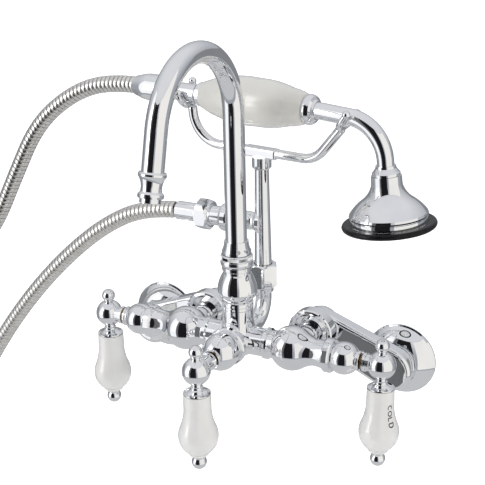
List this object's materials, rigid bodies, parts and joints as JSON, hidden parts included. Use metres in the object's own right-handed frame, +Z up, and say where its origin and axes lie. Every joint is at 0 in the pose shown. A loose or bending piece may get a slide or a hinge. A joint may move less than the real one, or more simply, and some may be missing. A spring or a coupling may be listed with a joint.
{
  "type": "wall mounted bath faucet",
  "caption": "Wall bath faucet: gooseneck spout, hot and cold valves, diverter, porcelain levers, and a hand shower on a cradle with a metal hose.",
  "frame": {"origin": "on the wall plane, midway between the two wall inlets", "axes": "+Z up, +Y into the wall, the room is at -Y, +X to the right for a person facing the wall"},
  "size_m": [0.6461, 0.2023, 0.6831],
  "materials": {
    "chrome": "polished chrome plate",
    "porcelain": "glazed white porcelain",
    "brass": "turned brass",
    "seal_rubber": "moulded sealing rubber",
    "black_rubber": "satin black rubber",
    "hose_steel": "interlocked metal strip",
    "spray_plastic": "moulded plastic",
    "screw_steel": "plain steel"
  },
  "bodies": {
    "valve_body_group": {"cold_bonnet": "chrome", "cold_cartridge": "brass", "cold_union_nut": "chrome", "cold_union_tail": "chrome", "cradle": "chrome", "cradle_screw": "screw_steel", "diverter_bonnet": "chrome", "diverter_cartridge": "brass", "hose": "hose_steel", "hose_ferrule_lower": "chrome", "hose_nut_lower": "chrome", "hose_washer_lower": "seal_rubber", "hot_bonnet": "chrome", "hot_cartridge": "brass", "hot_union_nut": "chrome", "hot_union_tail": "chrome", "riser_column": "chrome", "riser_elbow": "chrome", "riser_nut": "chrome", "riser_washer": "seal_rubber", "spout_base": "chrome", "spout_nut": "chrome", "union_washers": "seal_rubber", "valve_body": "chrome"},
    "hot_handle": {"hot_stem": "brass", "hot_hub": "chrome", "hot_lever": "porcelain", "hot_finial": "chrome"},
    "cold_handle": {"cold_stem": "brass", "cold_hub": "chrome", "cold_lever": "porcelain", "cold_finial": "chrome"},
    "diverter_handle": {"diverter_stem": "brass", "diverter_hub": "chrome", "diverter_lever": "porcelain", "diverter_finial": "chrome"},
    "spout": {"spout_sleeve": "chrome", "spout_set_screw": "screw_steel", "spout_tube": "chrome", "spout_o_rings": "seal_rubber", "spout_tip": "chrome", "aerator": "spray_plastic"},
    "hot_arm": {"hot_swing_arm": "chrome", "hot_arm_plug": "chrome", "hot_wall_flange": "chrome"},
    "cold_arm": {"cold_swing_arm": "chrome", "cold_arm_plug": "chrome", "cold_wall_flange": "chrome"},
    "handset": {"hose_cone_nut": "chrome", "hose_ferrule_upper": "brass", "hose_washer_upper": "seal_rubber", "handset_connector": "chrome", "grip": "porcelain", "grip_tube": "brass", "grip_ferrule": "chrome", "handset_neck": "chrome", "head_collar": "chrome", "shower_head": "chrome", "spray_plate": "spray_plastic", "head_rubber_ring": "black_rubber"}
  },
  "joints": [
    {"name": "hot_valve", "type": "hinge", "parent": "valve_body_group", "child": "hot_handle", "pos_m": [-0.121, -0.073, 0.0265], "axis": [1, 0, 0], "range_deg": [-90, 0]},
    {"name": "cold_valve", "type": "hinge", "parent": "valve_body_group", "child": "cold_handle", "pos_m": [0.121, -0.073, 0.0265], "axis": [1, 0, 0], "range_deg": [-86, 4]},
    {"name": "diverter_valve", "type": "hinge", "parent": "valve_body_group", "child": "diverter_handle", "pos_m": [0, -0.141, 0.0265], "axis": [0, 1, 0], "range_deg": [-90, 90]},
    {"name": "spout_swivel", "type": "hinge", "parent": "valve_body_group", "child": "spout", "pos_m": [0, -0.073, 0.1065], "axis": [0, 0, 1], "range_deg": [-90, 90]},
    {"name": "hot_union", "type": "hinge", "parent": "valve_body_group", "child": "hot_arm", "pos_m": [-0.047, -0.029, 0.0265], "axis": [0, 1, 0], "range_deg": [-60, 23]},
    {"name": "cold_union", "type": "hinge", "parent": "valve_body_group", "child": "cold_arm", "pos_m": [0.047, -0.029, 0.0265], "axis": [0, 1, 0], "range_deg": [-23, 60]},
    {"name": "handset_lift", "type": "slide", "parent": "valve_body_group", "child": "handset", "axis": [0, 0, 1], "range_m": [0, 0.024]}
  ]
}
